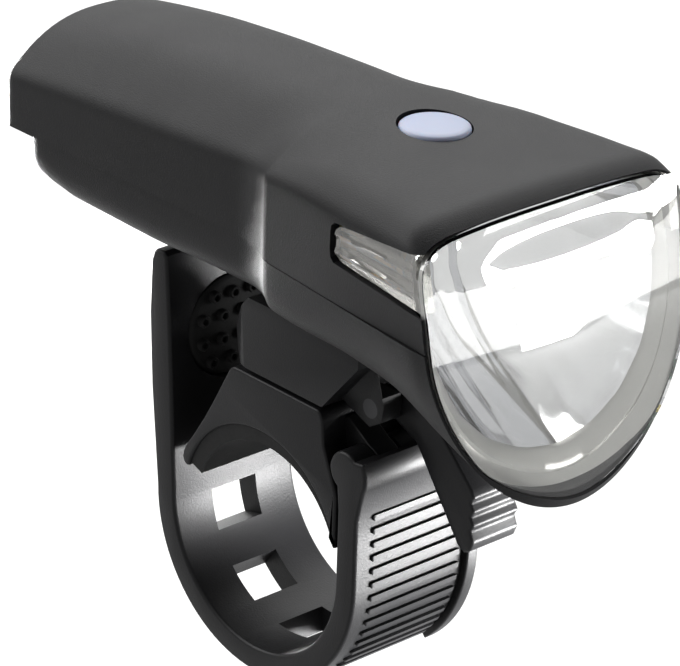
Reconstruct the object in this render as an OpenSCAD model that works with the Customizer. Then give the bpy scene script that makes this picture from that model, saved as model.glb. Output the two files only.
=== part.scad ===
// Clip-on bicycle headlight on a handlebar bracket with a loop strap.
// Units are millimetres. The origin is the middle of the handlebar axis.
// +X runs along the handlebar, -Y is where the beam points and +Z is up.

/* [Handlebar clamp] */
// Diameter of the handlebar that the pad rests on
bar_d = 31.8; // [31:0.2:32]
// Width of the bracket along the bar
band_w = 24; // [22:0.5:26]
// Wall of the strap
strap_wall = 4.2; // [3.8:0.1:4.6]
// Thickest part of the rubber pad
pad_wall = 2.7; // [2.4:0.1:3]
// How far the strap tail stands above the bar axis
tail_top = 39; // [34:0.5:40]

/* [Lamp housing] */
// Width of the upper shell over the cells
rear_w = 35; // [34.5:0.5:37]
// Width of the head at the lens
head_w = 50.4; // [48:0.2:52]
// Room behind the cells for the contacts and the charging socket
rear_room = 13.5; // [12.5:0.5:16]
// Height of the crown line above the bar axis
crown_z = 69.5; // [69:0.25:71]
// Height of the parting line between the shells
parting_z = 51.5; // [51:0.25:52]
// Wall of both shells
shell_wall = 1.6; // [1.4:0.1:1.7]
// Radius of the mode button
button_r = 5.2; // [4.8:0.1:5.6]

/* [Fits] */
// Gap between pieces that move past each other
slide_gap = 0.4; // [0.3:0.05:0.5]
// Radial running clearance of pins and the swivel screw
run_gap = 0.08; // [0.06:0.01:0.1]

/* [Hidden] */
$fn = 64;

// Shared values
bar_r = bar_d / 2;
band = band_w / 2;
black = [0.09, 0.09, 0.1];
eps = 0.01;
far = 60;

// Strap ring: its centre lies behind the bar axis, so the strap touches the bar in front only
ring_in = 18.5 * bar_r / 15.9;
ring_out = ring_in + strap_wall;
ring_y = ring_in - bar_r - 0.1;
front_in = ring_y - ring_in;
hinge_y = front_in - 1.2;
hinge_z = 18.5;
hinge_r = 3.2;
pin_r = 1.5;
skirt_r = hinge_r + slide_gap + 1;
thumb_z = 24.5;
thumb_r = 8.3;

// Saddle seat: an eccentric arc that leaves a crescent for the pad
seat_r = bar_r + 1.4 * pad_wall / 2.7;
seat_off = pad_wall + bar_r - seat_r;
seat_y = seat_off * cos(30);
seat_z = seat_off * sin(30);
saddle_top = 26.2;
// Rear lip of the saddle, clear of the strap and its pad as they swing past
lip_y = ring_y + ring_in - 1.8;
shoe_bottom = 27;
swivel_y = -4;
screw_r = 2.5;

// Shoe channel and lamp foot
floor_z = 30.6;
shoe_top = 38.4;
foot_w = 8;
stem_w = 5;
foot_front = -16.5;
foot_rear = 3;
lever_y = -18.5;
lever_z = 28.2;
lever_w = 4.5;

// Lamp head and lens
head = head_w / 2;
rear_half = rear_w / 2;
flare_w = 3.1;
overhang = 1.2;
lip = 3.4;
face_y = -41.2;
face_z = 65.6;
face_tan = 0.213;
button_y = -18.9;
led_y = -29.5;
cell_r = 7.25;
cell_l = 50.5;
cell_y = -9;
cell_z = parting_z + 2.8;
board_gap = 0.65;
board_z = cell_z + cell_r + board_gap;
cell_x = cell_r + 0.1;
rear_y = cell_y + cell_l + rear_room;
usb_z = parting_z + 6;
screw_x = 15.2;
screw_y = -13;
screw_seat = 44;

// Side view of a plane parallel to the lens face, moved back by d
function face_at(z, d) = face_y + face_tan * (z - face_z) + d;

// Soft step from 0 to 1
function flare(t) = t <= 0 ? 0 : t >= 1 ? 1 : t * t * (3 - 2 * t);
function part_of(t) = max(0, min(1, t));

// Half width of the hood at the place y: straight body, concave flare with a crisp edge, then the head
function hood_half(y) = rear_half + flare_w * pow(part_of((-3 - y) / 6), 2)
  + (head - rear_half - flare_w) * part_of((-9 - y) / 33);
// Sag of the top's arch for each square millimetre of half width, flatter towards the brow
function arch_at(y) = 0.0229 - 0.0179 * flare((-3 - y) / 30);
// Half section of the hood at y, a side, a rounded edge and an arch, inset by d and by i at the rear corner
function hood_line(y, d, i) = let (full = hood_half(y), h = full - d - i, t = flare((-4 - y) / 26),
  sag = arch_at(y) * h * h, top = crown_z - d - 0.75 * i - brow_drop(y),
  edge = max(0.8, 1.9 + 3.2 * t - d), low = top - sag - edge, ex = h - 1.15 * edge,
  ez = top - sag * ex * ex / h / h)
  concat([[h, parting_z], [h, low]],
    [for (k = [1:4]) let (u = k / 4) [h - u * u * (h - ex),
      (1 - u) * (1 - u) * low + 2 * u * (1 - u) * (low + 1.12 * edge) + u * u * ez]],
    [for (k = [1:4]) let (x = ex * (1 - k / 4)) [x, top - sag * x * x / h / h]]);
// The brow bends down just behind the lens
function brow_drop(y) = 1.5 * pow(max(0, min(1.2, (-36 - y) / 5.2)), 2.2);

// Half width, depth and roundness of the lower shell at y
function low_half(y) = hood_half(y) - overhang * (1 - flare((2 - y) / 14));
function low_bottom(y) = lookup(y, [[-54, 21.9], [-50, 24.3], [-42, 29.2], [-33, 34.4], [-23, 38.5],
  [-4, 41.2], [rear_y - 34, 42.4], [rear_y - 14, 44.5], [rear_y - 8, 46], [rear_y - 4.4, 48],
  [rear_y - lip, 49.6]]);
function low_power(y) = 5 - 3.05 * flare((8 - y) / 46);
function low_line(y, d, i) = let (h = low_half(y) - d - i, p = low_power(y),
  deep = parting_z - low_bottom(y) - d)
  [for (a = [0:10:90]) [-h * pow(cos(a), 2 / p), parting_z - deep * pow(sin(a), 2 / p)]];

// Places of the sections, each with the inset of the rounded rear corner
function rows(rear, corner, d, from) = [for (r = concat(
  [for (a = [90:-18:0]) [rear - d - corner + corner * sin(a), corner * (1 - cos(a))]],
  [for (t = [1, 0.85, 0.6, 0.35, 0.15]) [-3 + t * (rear - 5), 0]],
  [for (y = [-3, -5, -6.5, -8, -9, -13, -18, -23, -28, -33, -36, -37.7, -39.4, -41, -42.5, -46, -50, -54])
    [y, 0]])) if (r[0] <= from) r];
// Whole section from its half, set upright at y
function upright(half, y) = concat([for (p = half) [p[0], y, p[1]]],
  [for (k = [len(half) - 2:-1:0]) [-half[k][0], y, half[k][1]]]);
// Solid skin through a row of sections with equal counts of points
module skin(sections) {
  n = len(sections[0]);
  m = len(sections);
  polyhedron(points = [for (s = sections) for (p = s) p], convexity = 4, faces = concat(
    [[for (k = [0:n - 1]) k]], [[for (k = [n - 1:-1:0]) (m - 1) * n + k]],
    [for (r = [0:m - 2]) for (k = [0:n - 1]) for (t = [0, 1]) let (a = r * n + k, b = r * n + (k + 1) % n)
      t == 0 ? [a, b + n, b] : [a, a + n, b + n]]));
}

// Turns a drawing in the Y-Z plane into a solid that runs along X
module along_x(x0, x1) {
  translate([x0, 0, 0]) rotate([90, 0, 90]) linear_extrude(x1 - x0) children();
}
// Turns a drawing in the X-Z plane into a solid that runs along Y
module along_y(y0, y1) {
  translate([0, y1, 0]) rotate([90, 0, 0]) linear_extrude(y1 - y0) children();
}
module rod_x(r, x0, x1, y, z) {
  translate([x0, y, z]) rotate([0, 90, 0]) cylinder(r = r, h = x1 - x0);
}

// Everything behind the lens face moved back by d
module behind_face(d) {
  along_x(-far, far) polygon([[face_at(0, d), 0], [90, 0], [90, 90], [face_at(90, d), 90]]);
}
// Outer form of the upper shell in front of the place from, inset by d
module upper_form(d, from = 90) {
  skin([for (r = rows(rear_y, 4, d, from)) upright(hood_line(r[0], d, r[1]), r[0])]);
}
// Outer form of the lower shell in front of the place from, inset by d
module lower_form(d, from = 90) {
  skin([for (r = rows(rear_y - lip, 3.5, d, from)) upright(low_line(r[0], d, r[1]), r[0])]);
}
// Opening in the side of the head that takes the lens ear, grown by g
module ear_window(g) {
  along_x(-far, far) polygon([[face_at(57, -9), 56.6 - g], [-24.5 + g, 57.6 - g], [-24 + g, 58.2],
    [-24 + g, 62.2], [-24.5 + g, 62.8 + g], [face_at(64, -9), 64.2 + g]]);
}

module upper_shell() {
  color(black) difference() {
    union() {
      intersection() {
        difference() { upper_form(0); translate([0, 0, -eps]) upper_form(shell_wall); }
        behind_face(0.6);
      }
      for (s = [-1, 1]) intersection() {
        translate([s * screw_x, screw_y, parting_z + 0.1]) cylinder(r = 2.6, h = 40);
        upper_form(0.5);
      }
    }
    // Window for the lens ear
    difference() { ear_window(0.2); translate([-18, -70, 0]) cube([36, 140, 100]); }
    // Hole for the mode button
    translate([0, button_y, board_z + 3]) cylinder(r = button_r + slide_gap, h = 30);
    // Pilot holes for the housing screws
    for (s = [-1, 1]) translate([s * screw_x, screw_y, 0]) cylinder(r = 1.1, h = parting_z + 9);
    // Opening of the charging socket
    translate([-5.2, rear_y - 4, usb_z - 2.4]) cube([10.4, 8, 4.8]);
  }
}

module lower_shell() {
  color(black) difference() {
    union() {
      intersection() {
        difference() { lower_form(0); translate([0, 0, eps]) lower_form(shell_wall); }
        behind_face(0.6);
      }
      for (s = [-1, 1]) intersection() {
        translate([s * screw_x, screw_y, 20]) cylinder(r = 2.6, h = parting_z - 20);
        lower_form(0.4);
      }
      // Rail that slides into the bracket
      translate([-stem_w, foot_front, floor_z + 3.8]) cube([2 * stem_w, foot_rear - foot_front, 7.4]);
      translate([-foot_w, foot_front, floor_z + slide_gap]) cube([2 * foot_w, foot_rear - foot_front, 3.4]);
    }
    for (s = [-1, 1]) translate([s * screw_x, screw_y, 0]) {
      cylinder(r = 1.5, h = 80);
      cylinder(r = 2.2, h = screw_seat);
    }
  }
}

// Both shells' form of the head in one, inset by d
module head_form(d) {
  upper_form(d, -28);
  translate([0, 0, -0.2]) upper_form(d, -28);
  lower_form(d, -28);
}
// Ring-shaped slice of the housing form between two insets and two planes behind the face
module face_ring(d_out, d_in, back, front) {
  intersection() {
    difference() {
      head_form(d_out);
      head_form(d_in);
    }
    difference() { behind_face(front); behind_face(back); }
  }
}

module front_lens() {
  color([0.86, 0.88, 0.9, 0.35]) {
    intersection() {
      head_form(shell_wall + 0.15);
      difference() { behind_face(-0.6); behind_face(2.2); }
    }
    // Side ears that carry light to the windows
    intersection() {
      difference() {
        upper_form(0.2, -18);
        upper_form(shell_wall + 1.2, -18);
      }
      ear_window(0);
      behind_face(0);
      union() for (s = [-1, 1]) scale([s, 1, 1]) translate([18.2, -70, 0]) cube([20, 140, 100]);
    }
  }
}

module lens_gasket() {
  color([0.12, 0.12, 0.12]) difference() {
    face_ring(shell_wall + 0.15, shell_wall + 1.3, 3.4, 2.3);
    ear_window(0.3);
  }
}

// Bowl of the reflector: a paraboloid about an axis just under the light source
module bowl(back) {
  translate([0, led_y + 9.4 + back, board_z]) rotate([90, 0, 0])
    rotate_extrude($fn = 96) polygon(concat([[0, 0]],
      [for (r = [2:2:44]) [r, r * r / 37.8]], [[0, 44 * 44 / 37.8]]));
}
module reflector() {
  color([0.93, 0.93, 0.94]) difference() {
    intersection() {
      reflector_room(shell_wall + 1.5);
      bowl(1.3);
      behind_face(3.5);
      translate([-far, -70, 20]) cube([2 * far, 70, board_z - 21]);
    }
    intersection() {
      reflector_room(shell_wall + 2.7);
      bowl(0);
      translate([-far, -70, 20]) cube([2 * far, 70, board_z - 22]);
    }
    translate([0, led_y, 50]) cylinder(r = 3.4, h = 20);
  }
}
// Space for the reflector inside both shells, inset by d
module reflector_room(d) {
  upper_form(d, -9);
  translate([0, 0, -0.2]) upper_form(d, -9);
  lower_form(d, -9);
}

module led_board() {
  color([0.2, 0.42, 0.3]) translate([-8, led_y - 5, board_z + 0.8]) cube([16, 10, 1]);
}
module led_emitter() {
  color([0.95, 0.88, 0.45]) {
    translate([-1.75, led_y - 1.75, board_z]) cube([3.5, 3.5, 0.8]);
    translate([0, led_y, board_z]) rotate([180, 0, 0]) intersection() {
      sphere(r = 1.5);
      translate([-3, -3, 0]) cube(6);
    }
  }
}
module heat_sink() {
  color([0.72, 0.73, 0.75]) difference() {
    translate([-9, led_y - 5.5, board_z + 1.8]) cube([18, 11, 2.6]);
    for (x = [-7:2:7]) translate([x - 0.5, led_y - 6, board_z + 2.8]) cube([1, 12, 3]);
  }
}
module circuit_board() {
  color([0.1, 0.35, 0.2]) difference() {
    translate([-10.5, -23.6, board_z]) cube([21, 52, 1.2]);
    translate([0, 22, board_z - 1]) cylinder(r = 1.4, h = 4);
  }
}
module tact_switch() {
  color([0.6, 0.6, 0.62]) {
    translate([-3, button_y - 3, board_z + 1.2]) cube([6, 6, 1.6]);
    translate([0, button_y, board_z + 2.8]) cylinder(r = 1.2, h = 0.5);
  }
}
module indicator_led() {
  color([0.8, 0.85, 0.95]) translate([3.5, button_y - 0.8, board_z + 1.2]) cube([1.4, 1.6, 0.7]);
}
module mode_button() {
  color([0.78, 0.81, 0.86]) {
    translate([0, button_y, crown_z - 1]) cylinder(r1 = button_r, r2 = button_r - 0.3, h = 2.1);
    translate([0, button_y, board_z + 4.3]) cylinder(r = 2, h = crown_z - 1 - board_z - 4.3 + eps);
  }
}

module cell(s) {
  translate([s * cell_x, cell_y, cell_z]) rotate([-90, 0, 0]) {
    cylinder(r = cell_r, h = cell_l - 1.2);
    cylinder(r = 2.7, h = cell_l);
  }
}
module cell_left() { color([0.55, 0.57, 0.6]) cell(-1); }
module cell_right() { color([0.55, 0.57, 0.6]) cell(1); }
module cell_contacts() {
  color([0.8, 0.66, 0.35]) for (s = [-1, 1]) {
    translate([s * cell_x - 5, cell_y + cell_l, cell_z - 5]) cube([10, 0.5, 10]);
    translate([s * cell_x, cell_y, cell_z]) rotate([90, 0, 0]) cylinder(r1 = 2, r2 = 5, h = 2.4);
  }
}
module usb_socket() {
  color([0.75, 0.76, 0.78]) difference() {
    translate([-4.6, rear_y - 10.4, usb_z - 1.7]) cube([9.2, 9.2, 3.4]);
    translate([-4.1, rear_y - 8, usb_z - 1.2]) cube([8.2, 10, 2.4]);
  }
}
module usb_cover() {
  color([0.14, 0.14, 0.15]) {
    translate([-7, rear_y + 0.3, usb_z - 4.5]) cube([14, 1.4, 9]);
    rod_x(0.9, -7, 7, rear_y + 1.2, usb_z - 4.9);
  }
}
module shell_screws() {
  color([0.6, 0.61, 0.63]) for (s = [-1, 1]) translate([s * screw_x, screw_y, 0]) {
    translate([0, 0, screw_seat - 1.6]) cylinder(r = 2.1, h = 1.6);
    translate([0, 0, screw_seat]) cylinder(r = 1.1, h = parting_z + 6 - screw_seat);
  }
}

module shoe() {
  color(black) difference() {
    union() {
      intersection() {
        along_x(-band, band) polygon([[5, shoe_bottom], [8.3, 28.3], [10.4, 30.4], [10.2, 32],
          [4.6, shoe_top],
          [-19.3, shoe_top], [-19.4, 35.6], [-12, shoe_bottom]]);
        translate([0, 0, 20]) linear_extrude(30) polygon([[-band, -30], [band, -30], [band, 6],
          [band - 4, 12],
          [4 - band, 12], [-band, 6]]);
      }
      // Ears that hold the lever pin
      for (s = [-1, 1]) scale([s, 1, 1]) {
        along_x(lever_w + slide_gap, lever_w + 4) polygon([[-10, 31], [-10, 28.5], [-14, shoe_bottom],
          [lever_y, lever_z - 2.9], [lever_y - 2.4, lever_z - 1.4], [lever_y - 2.8, lever_z + 1],
          [-19.3, 36]]);
      }
    }
    // Channel for the lamp rail, open at the front
    translate([-foot_w - slide_gap, -40, floor_z])
      cube([2 * (foot_w + slide_gap), 40 + foot_rear + slide_gap, 4.2]);
    translate([-stem_w - slide_gap, -40, floor_z])
      cube([2 * (stem_w + slide_gap), 40 + foot_rear + slide_gap, 20]);
    // Slot for the lever
    translate([-lever_w - slide_gap, -40, 20]) cube([2 * (lever_w + slide_gap), 27.5, 30]);
    rod_x(pin_r, -20, 20, lever_y, lever_z);
    // Bore and head seat of the swivel screw
    translate([0, swivel_y, 20]) cylinder(r = screw_r + run_gap, h = 20);
    translate([0, swivel_y, shoe_bottom + 1.6]) cylinder(r = 5, h = 10);
  }
}

module release_lever() {
  color(black) difference() {
    along_x(-lever_w, lever_w) polygon([[lever_y + 2.6, lever_z - 0.8], [lever_y + 2.4, lever_z + 1.4],
      [lever_y + 0.5, 30.2], [lever_y - 4, 30.2], [-26.5, 29.4], [-35.6, 20.8], [-36.4, 19.6],
      [-35.7, 18.6], [-36.5, 17.4], [-35.8, 16.4], [-36.6, 15.2], [-35.9, 14.2], [-36.6, 12.6],
      [-36, 11], [-34.8, 10.3], [-33.4, 11.1], [-24, 23.8],
      [lever_y - 1, lever_z - 2.6], [lever_y + 1.4, lever_z - 2.3]]);
    rod_x(pin_r + run_gap, -20, 20, lever_y, lever_z);
  }
}
module lever_pin() {
  color([0.7, 0.71, 0.73]) rod_x(pin_r, -lever_w - 4, lever_w + 4, lever_y, lever_z);
}
module swivel_screw() {
  color([0.7, 0.71, 0.73]) difference() {
    union() {
      translate([0, swivel_y, 20.2]) cylinder(r = screw_r, h = shoe_bottom + 1.9 - 20.2);
      translate([0, swivel_y, shoe_bottom + 1.9]) cylinder(r = 4.6, h = 1.5);
    }
    translate([0, swivel_y, shoe_bottom + 2.4]) cylinder(r = 1.7, h = 5, $fn = 6);
  }
}
module swivel_washer() {
  color([0.8, 0.8, 0.78]) difference() {
    translate([0, swivel_y, saddle_top]) cylinder(r = 8, h = 0.5);
    translate([0, swivel_y, saddle_top - 1]) cylinder(r = screw_r + 0.1, h = 4);
  }
}
module swivel_nut() {
  color([0.7, 0.71, 0.73]) difference() {
    translate([0, swivel_y, 20.2]) cylinder(r = 4.6, h = 3, $fn = 6);
    translate([0, swivel_y, 18]) cylinder(r = screw_r, h = 10);
  }
}

module saddle() {
  color(black) difference() {
    union() {
      along_x(-band, band) polygon([[7.6, saddle_top], [8.6, 25.6], [lip_y - 0.4, 8.6], [lip_y, 7],
        [lip_y - 0.7, 5.8], [16, 5.6], [0, 0], [front_in + 0.4, 4.6], [front_in + 0.4, 14], [-12.6, 21],
        [-12.2, 25], [-11.4, saddle_top]]);
      // Ears for the strap hinge
      for (s = [-1, 1]) scale([s, 1, 1]) {
        rod_x(hinge_r, 3.4, 7.6, hinge_y, hinge_z);
        along_x(3.4, 7.6) polygon([[-11, 24], [-13, 24.6], [hinge_y - 0.6, hinge_z + hinge_r - 0.1],
          [front_in + 0.7, hinge_z - 2.5], [front_in + 0.5, 13.5], [-11, 13.5]]);
      }
    }
    translate([-20, seat_y, seat_z]) rotate([0, 90, 0]) cylinder(r = seat_r, h = 40, $fn = 128);
    // Room for the strap knuckles
    for (s = [-1, 1]) scale([s, 1, 1]) rod_x(hinge_r + slide_gap, 7.6, 20, hinge_y, hinge_z);
    rod_x(hinge_r + slide_gap, -3.4, 3.4, hinge_y, hinge_z);
    rod_x(pin_r, -20, 20, hinge_y, hinge_z);
    // Screw hole and nut trap
    translate([0, swivel_y, 10]) cylinder(r = screw_r, h = 30);
    translate([0, swivel_y, 10]) cylinder(r = 4.7, h = 13.2, $fn = 6);
  }
}

module bar_pad() {
  color([0.13, 0.13, 0.13]) intersection() {
    difference() {
      translate([-band + 0.4, seat_y, seat_z]) rotate([0, 90, 0])
        cylinder(r = seat_r, h = band_w - 0.8, $fn = 128);
      translate([-20, 0, 0]) rotate([0, 90, 0]) cylinder(r = bar_r, h = 40, $fn = 128);
    }
    along_x(-20, 20) polygon([[0, 0], [40, 15], [40, 40], [-40, 40], [-40, 14]]);
  }
}

// Side view of the strap: front wall, ring and rear tail
function ring_pt(r, a) = [ring_y + r * cos(a), r * sin(a)];
module strap_side() {
  polygon(concat(
    [for (a = [145:12:205]) [hinge_y + skirt_r * cos(a), hinge_z + skirt_r * sin(a)]],
    [[front_in - strap_wall, 11.5]],
    [for (a = [180:5:360]) ring_pt(ring_out, a)],
    [[ring_y + ring_out + 1.6, 16], [ring_y + ring_out + 2.2, 28], [ring_y + ring_out + 1.9, tail_top - 1],
      [ring_y + ring_out + 1, tail_top], [ring_y + ring_out - 1.6, tail_top], [ring_y + ring_in + 1.4, 28],
      [ring_y + ring_in + 0.9, 16]],
    [for (a = [360:-5:180]) ring_pt(ring_in, a)],
    [[front_in, hinge_z - 1]]));
}
module strap() {
  color(black) difference() {
    union() {
      difference() {
        along_x(-band, band) strap_side();
        // Room for the saddle ears and their sweep
        for (s = [-1, 1]) scale([s, 1, 1])
          rod_x(hinge_r + slide_gap, 3.4 - slide_gap, 7.6 + slide_gap, hinge_y, hinge_z);
        translate([-20, front_in + 0.01, 12]) cube([40, 10, 20]);
      }
      for (x = [[-band, -8], [-3, 3], [8, band]]) rod_x(hinge_r, x[0], x[1], hinge_y, hinge_z);
      // Raised edge along the far end of the ribs
      along_x(band - 2.2, band) polygon(concat([[front_in - strap_wall + 1, 10], [front_in - strap_wall, 10]],
        [for (a = [176:6:230]) ring_pt(ring_out + 1.2, a)],
        [for (a = [230:-6:176]) ring_pt(ring_out - 1, a)]));
      // Grip ribs across the front
      for (z = [10.5:-2.9:0]) translate([-9, front_in - strap_wall - 0.7, z - 0.6]) cube([18, 2, 1.2]);
      for (a = [184:7.4:222]) translate([-9, ring_y, 0]) rotate([a, 0, 0])
        translate([0, ring_out - 1, -0.6]) cube([18, 1.7, 1.2]);
    }
    rod_x(pin_r + run_gap, -20, 20, hinge_y, hinge_z);
    // Slots that hook over the saddle when the loop is closed
    for (a = [-16, -55, -94]) translate([-4.4, ring_y, 0]) rotate([a, 0, 0])
      translate([0, ring_in - 2, -3.4]) cube([8.8, strap_wall + 4, 6.8]);
    // Seat of the grip pad
    translate([0, ring_y + ring_in - 5, thumb_z]) rotate([-90, 0, 0]) cylinder(r = thumb_r + 0.1, h = 7.6);
  }
}
module strap_pin() {
  color([0.7, 0.71, 0.73]) rod_x(pin_r, -band + 0.5, band - 0.5, hinge_y, hinge_z);
}
module grip_pad() {
  color([0.12, 0.12, 0.12]) translate([0, ring_y + ring_in + 2.6, thumb_z]) rotate([90, 0, 0]) {
    cylinder(r = thumb_r, h = 1.4);
    for (r = [[-4, -5.2], [0, -5.2], [4, -5.2], [-5.8, -1.7], [-2, -1.7], [2, -1.7], [5.8, -1.7],
      [-5.8, 2.2], [-2, 2.2], [2, 2.2], [5.8, 2.2], [-3.6, 5.6], [0, 5.6], [3.6, 5.6]])
      translate([r[0], r[1], 1.2]) cylinder(r = 0.9, h = 1.1, $fn = 16);
  }
}

upper_shell();
lower_shell();
front_lens();
lens_gasket();
reflector();
led_board();
led_emitter();
heat_sink();
circuit_board();
tact_switch();
indicator_led();
mode_button();
cell_left();
cell_right();
cell_contacts();
usb_socket();
usb_cover();
shell_screws();
shoe();
release_lever();
lever_pin();
swivel_screw();
swivel_washer();
swivel_nut();
saddle();
bar_pad();
strap();
strap_pin();
grip_pad();
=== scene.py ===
# %% [markdown]
# # A clip-on bicycle headlight
# The lamp is a moulded hood and a lower shell around a chrome reflector and a clear lens.
# It slides onto a shoe, which swivels on a saddle, and a loop strap holds the saddle on a handlebar.
# The imported model gives every place and size, so the script starts from it.
# Lengths are in millimetres here: x runs along the handlebar, the beam points to -y, and z is up.

# %% Load the model
import math

import bmesh
import bpy
import numpy as np
from mathutils import Matrix, Vector


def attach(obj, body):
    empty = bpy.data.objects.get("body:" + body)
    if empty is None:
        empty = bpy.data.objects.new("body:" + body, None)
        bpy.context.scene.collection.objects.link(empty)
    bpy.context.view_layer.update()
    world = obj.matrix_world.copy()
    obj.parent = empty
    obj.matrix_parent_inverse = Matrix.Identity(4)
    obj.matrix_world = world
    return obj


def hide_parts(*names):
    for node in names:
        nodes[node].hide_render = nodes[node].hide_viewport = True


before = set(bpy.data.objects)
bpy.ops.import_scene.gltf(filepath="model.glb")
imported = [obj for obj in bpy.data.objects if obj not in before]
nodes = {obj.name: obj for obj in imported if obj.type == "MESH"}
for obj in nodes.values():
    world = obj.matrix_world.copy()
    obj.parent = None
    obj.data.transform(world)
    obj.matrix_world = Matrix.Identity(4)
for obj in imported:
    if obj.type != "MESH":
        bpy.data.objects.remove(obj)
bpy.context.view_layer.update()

scene = bpy.context.scene

# %% [markdown]
# ## The camera
# The lamp is seen from its own right-hand side, in front and above, through a long lens.
# The place and the three directions were found from straight edges and round shapes in the picture.
# A matrix of the three directions turns the camera, because angles would first have to be worked out.

# %% Camera
CAMERA_AT = Vector((-0.32181, -0.35322, 0.24910))
CAMERA_RIGHT = Vector((0.74603, -0.66520, 0.03068))
CAMERA_UP = Vector((0.25556, 0.32854, 0.90926))
CAMERA_BACK = Vector((-0.61493, -0.67049, 0.41510))
FOCAL_MM, SENSOR_MM = 188.5, 36
NEAR_CLIP = 0.01

camera = bpy.data.objects.new("camera", bpy.data.cameras.new("camera"))
camera.data.lens = FOCAL_MM
camera.data.sensor_width = SENSOR_MM
camera.data.clip_start = NEAR_CLIP
turn = Matrix((CAMERA_RIGHT, CAMERA_UP, CAMERA_BACK)).transposed().to_4x4()
camera.matrix_world = Matrix.Translation(CAMERA_AT) @ turn
scene.collection.objects.link(camera)
scene.camera = camera
print("camera at", [round(v, 3) for v in CAMERA_AT])

# %% [markdown]
# ## Small helpers
# Colours are written as they look on a screen, and the shader wants them linear, so one function
# converts them. Another adds a shader or geometry node with its settings and links in one line.

# %% Helpers for colours and nodes
MM = 0.001


def to_linear(hex_colour):
    parts = [int(hex_colour[i:i + 2], 16) / 255 for i in (1, 3, 5)]
    return tuple(c / 12.92 if c <= 0.04045 else ((c + 0.055) / 1.055) ** 2.4 for c in parts) + (1.0,)


def add(tree, kind, inputs=None, **settings):
    node = tree.nodes.new(kind)
    for key, value in settings.items():
        setattr(node, key, value)
    for key, value in (inputs or {}).items():
        if isinstance(value, bpy.types.NodeSocket):
            tree.links.new(value, node.inputs[key])
        else:
            node.inputs[key].default_value = value
    return node


# %% [markdown]
# A piece starts as a list of points and faces. When its shape is done, one function merges its doubles,
# turns its faces outwards, smooths it, gives it its finish, parents it to the empty of the body that carries
# it, and hides the imported nodes that it stands for.

# %% Helpers for meshes
MERGE = 1e-6


def mesh_object(name, verts_mm, faces, edges=()):
    mesh = bpy.data.meshes.new(name)
    mesh.from_pydata([tuple(c * MM for c in v) for v in verts_mm], list(edges), faces)
    piece = bpy.data.objects.new(name, mesh)
    scene.collection.objects.link(piece)
    return piece


def face_outwards(mesh, merge=True):
    bm = bmesh.new()
    bm.from_mesh(mesh)
    if merge:
        bmesh.ops.remove_doubles(bm, verts=bm.verts, dist=MERGE)
    bmesh.ops.recalc_face_normals(bm, faces=bm.faces)
    bm.to_mesh(mesh)
    bm.free()


def finish_piece(piece, material, body, stands_for=(), smooth_deg=35):
    mesh = piece.data
    face_outwards(mesh)
    mesh.polygons.foreach_set("use_smooth", [True] * len(mesh.polygons))
    mesh.set_sharp_from_angle(angle=math.radians(smooth_deg))
    mesh.materials.clear()
    mesh.materials.append(material)
    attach(piece, body)
    if stands_for:
        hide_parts(*stands_for)
    print(piece.name, len(mesh.polygons), "faces")
    return piece


def make_piece(name, verts_mm, faces, material, body, stands_for=(), smooth_deg=35):
    return finish_piece(mesh_object(name, verts_mm, faces), material, body, stands_for, smooth_deg)


# %% [markdown]
# Most shapes are grids of points: rows along the piece and columns around it.
# Round outlines and turned pieces come from helpers too, so that no circle is written out point by point.

# %% Helpers for grids, arcs and turned shapes


def grid_faces(rows, cols, start=0, wrap=False):
    last = cols if wrap else cols - 1
    return [(start + r * cols + c, start + r * cols + (c + 1) % cols,
             start + (r + 1) * cols + (c + 1) % cols, start + (r + 1) * cols + c)
            for r in range(rows - 1) for c in range(last)]


def arc(middle, radius, degrees):
    turns = [math.radians(d) for d in degrees]
    return [(middle[0] + radius * math.cos(a), middle[1] + radius * math.sin(a)) for a in turns]


def circle(middle, radius, count):
    return arc(middle, radius, np.linspace(0, 360, count + 1)[:-1])


def turned(profile, count, at=(0.0, 0.0, 0.0), upright=False):
    # Turns a profile of radius and height about an upright axis, or about one along the lamp
    verts = []
    for radius, height in profile:
        for a, b in circle((0.0, 0.0), radius, count):
            offset = (a, b, height) if upright else (a, height, b)
            verts.append(tuple(p + q for p, q in zip(at, offset)))
    return verts


def even_loop(points, count, smoothings):
    # Evenly spaced points on a closed loop, with its corners softened a little
    loop = np.array(list(points) + list(points[:1]))
    run = np.concatenate([[0], np.cumsum(np.linalg.norm(np.diff(loop, axis=0), axis=1))])
    at = np.linspace(0, run[-1], count + 1)[:-1]
    ring = np.column_stack([np.interp(at, run, loop[:, i]) for i in (0, 1)])
    for _ in range(smoothings):
        ring = (np.roll(ring, 1, axis=0) + 2 * ring + np.roll(ring, -1, axis=0)) / 4
    return ring


# %% [markdown]
# ## Black moulded plastic
# The housing and the bracket are ABS, moulded in a spark-eroded tool, which leaves an even fine grain.
# A fine noise as bump breaks the highlight, and a broad one changes the roughness slightly.

# %% Plastics and rubbers
CLOUD_MM = 9
PLASTIC_IOR, PLASTIC_SPECULAR = 1.53, 0.1


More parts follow.
